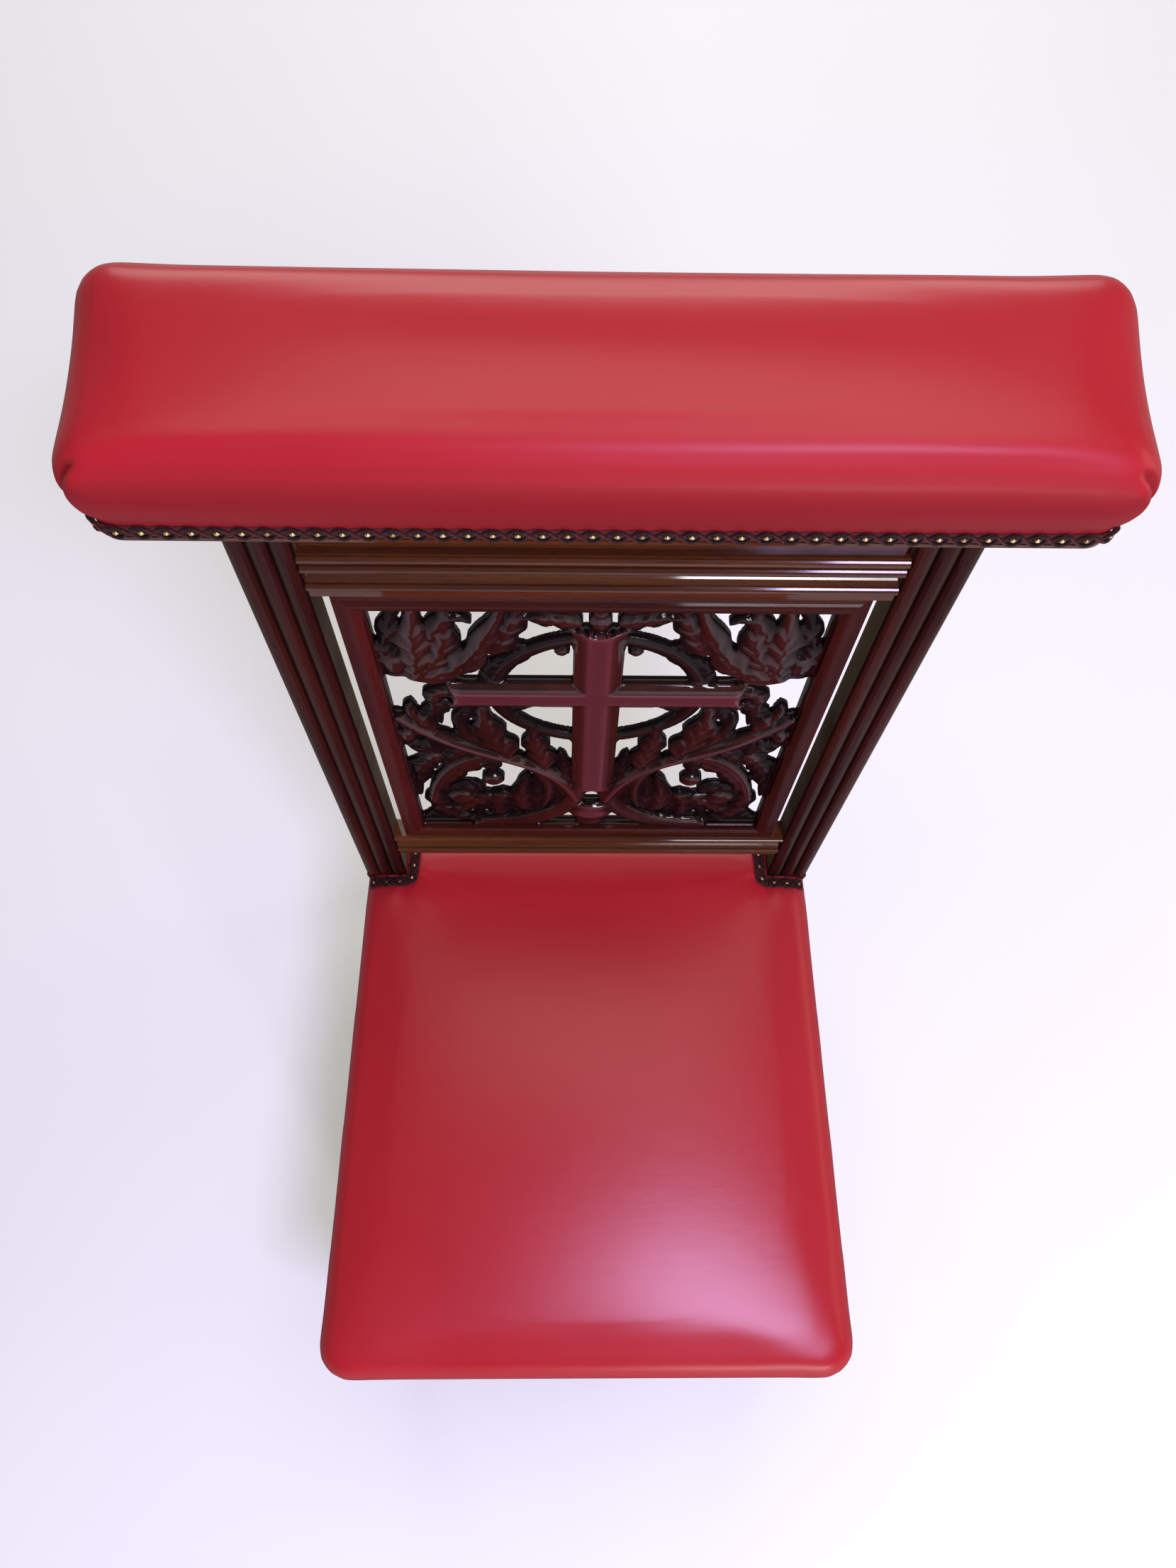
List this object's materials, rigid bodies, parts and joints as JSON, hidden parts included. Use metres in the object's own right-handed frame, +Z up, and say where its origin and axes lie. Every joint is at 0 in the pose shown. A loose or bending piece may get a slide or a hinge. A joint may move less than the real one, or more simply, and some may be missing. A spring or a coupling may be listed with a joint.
{
  "type": "prie-dieu chair",
  "caption": "Low prayer chair with a raked, pierced carved wooden back, a padded armrest board on top and a sprung, padded seat for kneeling.",
  "frame": {"origin": "on the floor, midway between the left and right sides and midway between the front of the seat and the back of the armrest", "axes": "+Z up; +Y from the front of the seat to the back; +X to the right when facing the back from the seat"},
  "size_m": [0.5002, 0.575, 0.9005],
  "materials": {
    "mahogany": "french polished, glossy, dark red brown",
    "mahogany_rail": "french polished, glossy, warm brown",
    "beech": "planed, unfinished",
    "red_leather": "smooth, satin",
    "gimp_braid": "woven scroll braid, maroon and charcoal",
    "jute_webbing": "plain woven jute",
    "hessian": "open plain weave",
    "hair_stuffing": "curled hair under calico",
    "spring_steel": "oiled wire",
    "screw_steel": "bright",
    "brass_nail": "aged, domed"
  },
  "bodies": {
    "root": {"stile_left": "mahogany", "stile_right": "mahogany", "front_leg_left": "mahogany", "front_leg_right": "mahogany", "seat_rail_front": "beech", "seat_rail_back": "beech", "seat_rail_left": "beech", "seat_rail_right": "beech", "corner_blocks": "beech", "corner_block_screws": "screw_steel", "frieze_rail": "mahogany_rail", "lower_back_rail": "mahogany_rail", "panel_frame_top": "mahogany", "panel_frame_bottom": "mahogany", "panel_frame_left": "mahogany", "panel_frame_right": "mahogany", "panel_frame_dowels": "beech", "carved_panel": "mahogany", "armrest_board": "mahogany_rail", "armrest_board_screws": "screw_steel", "armrest_stuffing": "hair_stuffing", "armrest_leather": "red_leather", "armrest_gimp": "gimp_braid", "webbing_lengthwise": "jute_webbing", "webbing_crosswise": "jute_webbing", "seat_springs": "spring_steel", "spring_hessian": "hessian", "seat_stuffing": "hair_stuffing", "seat_leather": "red_leather", "seat_gimp": "gimp_braid"}
  },
  "joints": []
}
